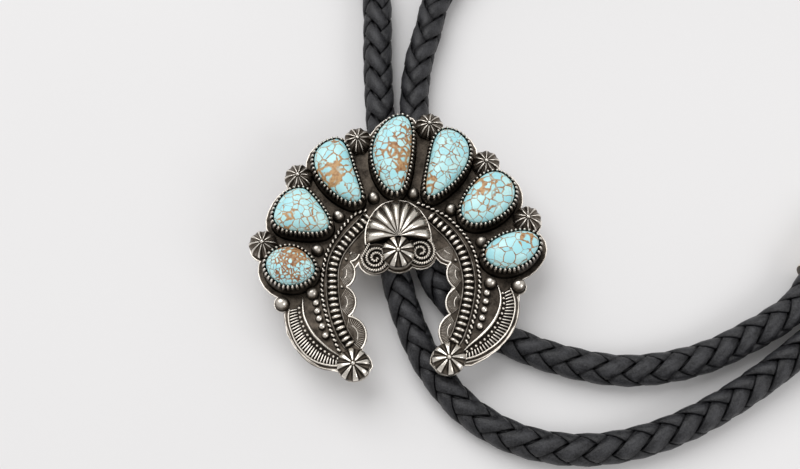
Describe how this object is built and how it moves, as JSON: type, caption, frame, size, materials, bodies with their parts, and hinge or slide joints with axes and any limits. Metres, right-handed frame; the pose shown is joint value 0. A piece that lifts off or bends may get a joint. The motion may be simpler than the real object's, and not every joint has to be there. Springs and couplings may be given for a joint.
{
  "type": "bolo tie",
  "caption": "Necktie of braided leather cord with a horseshoe-shaped silver slide set with turquoise cabochons, and plain metal tips on its free ends.",
  "frame": {"origin": "on the flat underside of the slide's clip, which rests on the surface, on the slide's middle line", "axes": "+X across the slide towards the wearer's left, +Y up the slide towards the neck, +Z out of the slide's front, away from the wearer"},
  "size_m": [0.1613, 0.2356, 0.0181],
  "materials": {
    "silver": "antiqued sterling silver, dark in the recesses",
    "clip_silver": "plain worn sterling silver",
    "turquoise": "polished turquoise with a brown web of matrix",
    "black_leather": "black braided leather, softly worn"
  },
  "bodies": {
    "root": {"naja": "silver", "stone_low_left": "turquoise", "stone_left": "turquoise", "stone_upper_left": "turquoise", "stone_top": "turquoise", "stone_upper_right": "turquoise", "stone_right": "turquoise", "stone_low_right": "turquoise", "slide_clip": "clip_silver", "neck_loop": "black_leather", "cord_end_long": "black_leather", "cord_end_short": "black_leather", "tip_long": "clip_silver", "tip_short": "clip_silver"}
  },
  "joints": []
}
